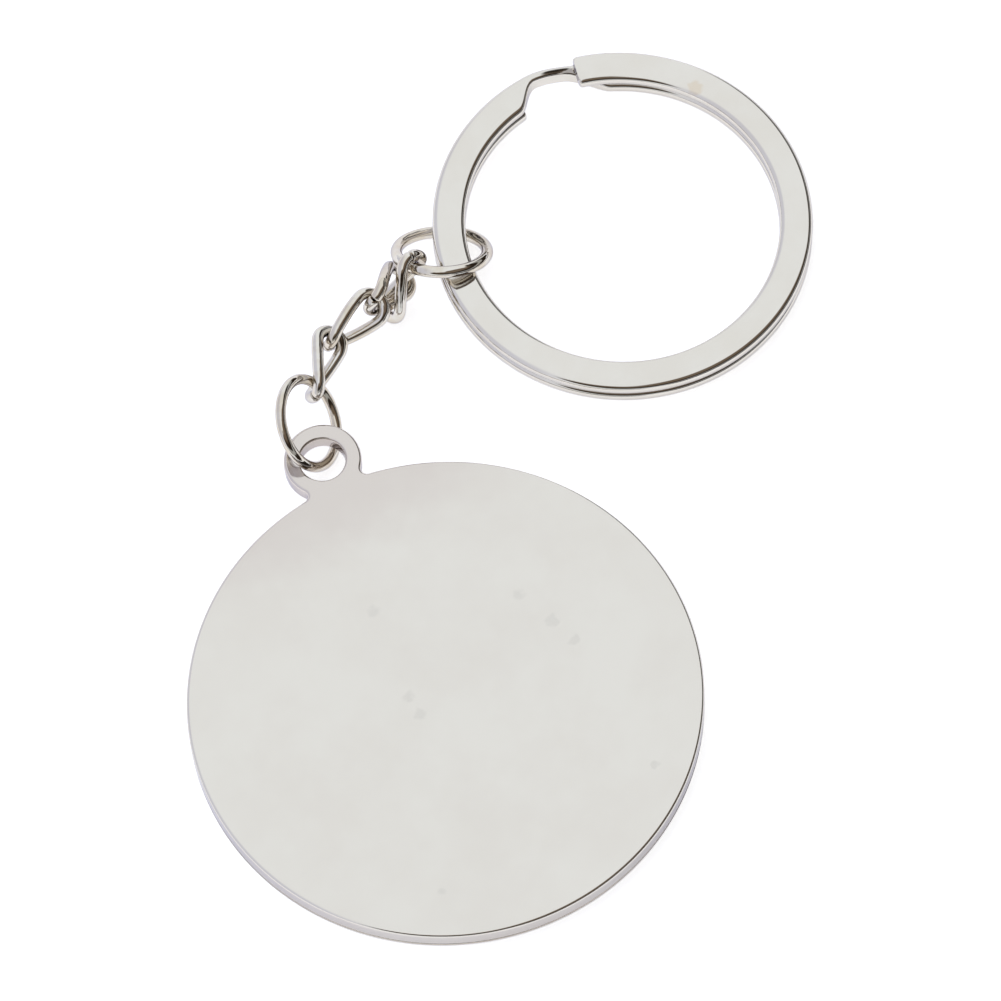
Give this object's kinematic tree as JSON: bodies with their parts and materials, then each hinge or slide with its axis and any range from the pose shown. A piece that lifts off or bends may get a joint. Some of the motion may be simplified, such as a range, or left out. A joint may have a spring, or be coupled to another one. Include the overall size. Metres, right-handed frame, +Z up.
{
  "type": "keyring with medallion",
  "caption": "Round metal medallion keyring: an enamelled crest disc with an eyelet, a short curb chain with jump rings and a flat split ring that holds keys.",
  "frame": {"origin": "centre of the medallion's flat back", "axes": "+Z up, out of the plain back; +Y from the medallion's centre to its eyelet; the keyring lies flat, crest side down"},
  "size_m": [0.065, 0.0658, 0.0066],
  "materials": {
    "medallion": "nickel plate, satin, with faint handling marks",
    "jump_rings": "bright nickel plate on drawn wire",
    "links": "bright nickel plate on drawn wire",
    "split_ring": "bright nickel plate on flat spring wire",
    "enamel_navy": "glossy soft enamel",
    "enamel_green": "glossy soft enamel",
    "enamel_white": "glossy soft enamel",
    "enamel_black": "glossy soft enamel"
  },
  "bodies": {
    "medallion": {"medallion": "medallion", "enamel_field_left": "enamel_navy", "enamel_field_right": "enamel_navy", "enamel_shield_left": "enamel_green", "enamel_shield_right": "enamel_green", "enamel_ball_centre": "enamel_black", "enamel_ball_edge_1": "enamel_black", "enamel_ball_edge_2": "enamel_black", "enamel_ball_edge_3": "enamel_black", "enamel_ball_edge_4": "enamel_black", "enamel_ball_edge_5": "enamel_black", "enamel_ball_panel_1": "enamel_white", "enamel_ball_panel_2": "enamel_white", "enamel_ball_panel_3": "enamel_white", "enamel_ball_panel_4": "enamel_white", "enamel_ball_panel_5": "enamel_white"},
    "lower_jump_ring": {"lower_jump_ring": "jump_rings"},
    "link_d": {"link_d": "links"},
    "link_c": {"link_c": "links"},
    "link_b": {"link_b": "links"},
    "link_a": {"link_a": "links"},
    "upper_jump_ring": {"upper_jump_ring": "jump_rings"},
    "split_ring": {"split_ring": "split_ring"}
  },
  "joints": [
    {"name": "jump_ring_round_eyelet", "type": "hinge", "parent": "medallion", "child": "lower_jump_ring", "pos_m": [0, 0.02246, -0.00041], "axis": [0, -0.0174, 0.9998], "range_deg": [-15, 100]},
    {"name": "link_d_on_jump_ring", "type": "hinge", "parent": "lower_jump_ring", "child": "link_d", "pos_m": [0.00247, 0.02816, 0.00202], "axis": [-0.3658, -0.9003, -0.2359], "range_deg": [-75, 0]},
    {"name": "link_c_on_link_d", "type": "hinge", "parent": "link_d", "child": "link_c", "pos_m": [0.00546, 0.03056, 0.00043], "axis": [0.4804, 0.6442, 0.5952], "range_deg": [0, 65]},
    {"name": "link_b_on_link_c", "type": "hinge", "parent": "link_c", "child": "link_b", "pos_m": [0.00905, 0.03229, 0.00065], "axis": [0.7411, 0.085, -0.6659], "range_deg": [0, 85]},
    {"name": "link_a_on_link_b", "type": "hinge", "parent": "link_b", "child": "link_a", "pos_m": [0.01049, 0.03256, -0.00015], "axis": [0.8911, 0.2047, -0.4051], "range_deg": [0, 170]},
    {"name": "jump_ring_on_link_a", "type": "hinge", "parent": "link_a", "child": "upper_jump_ring", "pos_m": [0.01317, 0.03356, 0.00209], "axis": [0.5144, -0.7868, 0.3412], "range_deg": [-5, 140]},
    {"name": "split_ring_turn", "type": "hinge", "parent": "upper_jump_ring", "child": "split_ring", "pos_m": [0.02994, 0.03085, -0.00169], "axis": [0.042, -0.0121, 0.999], "continuous": true}
  ]
}
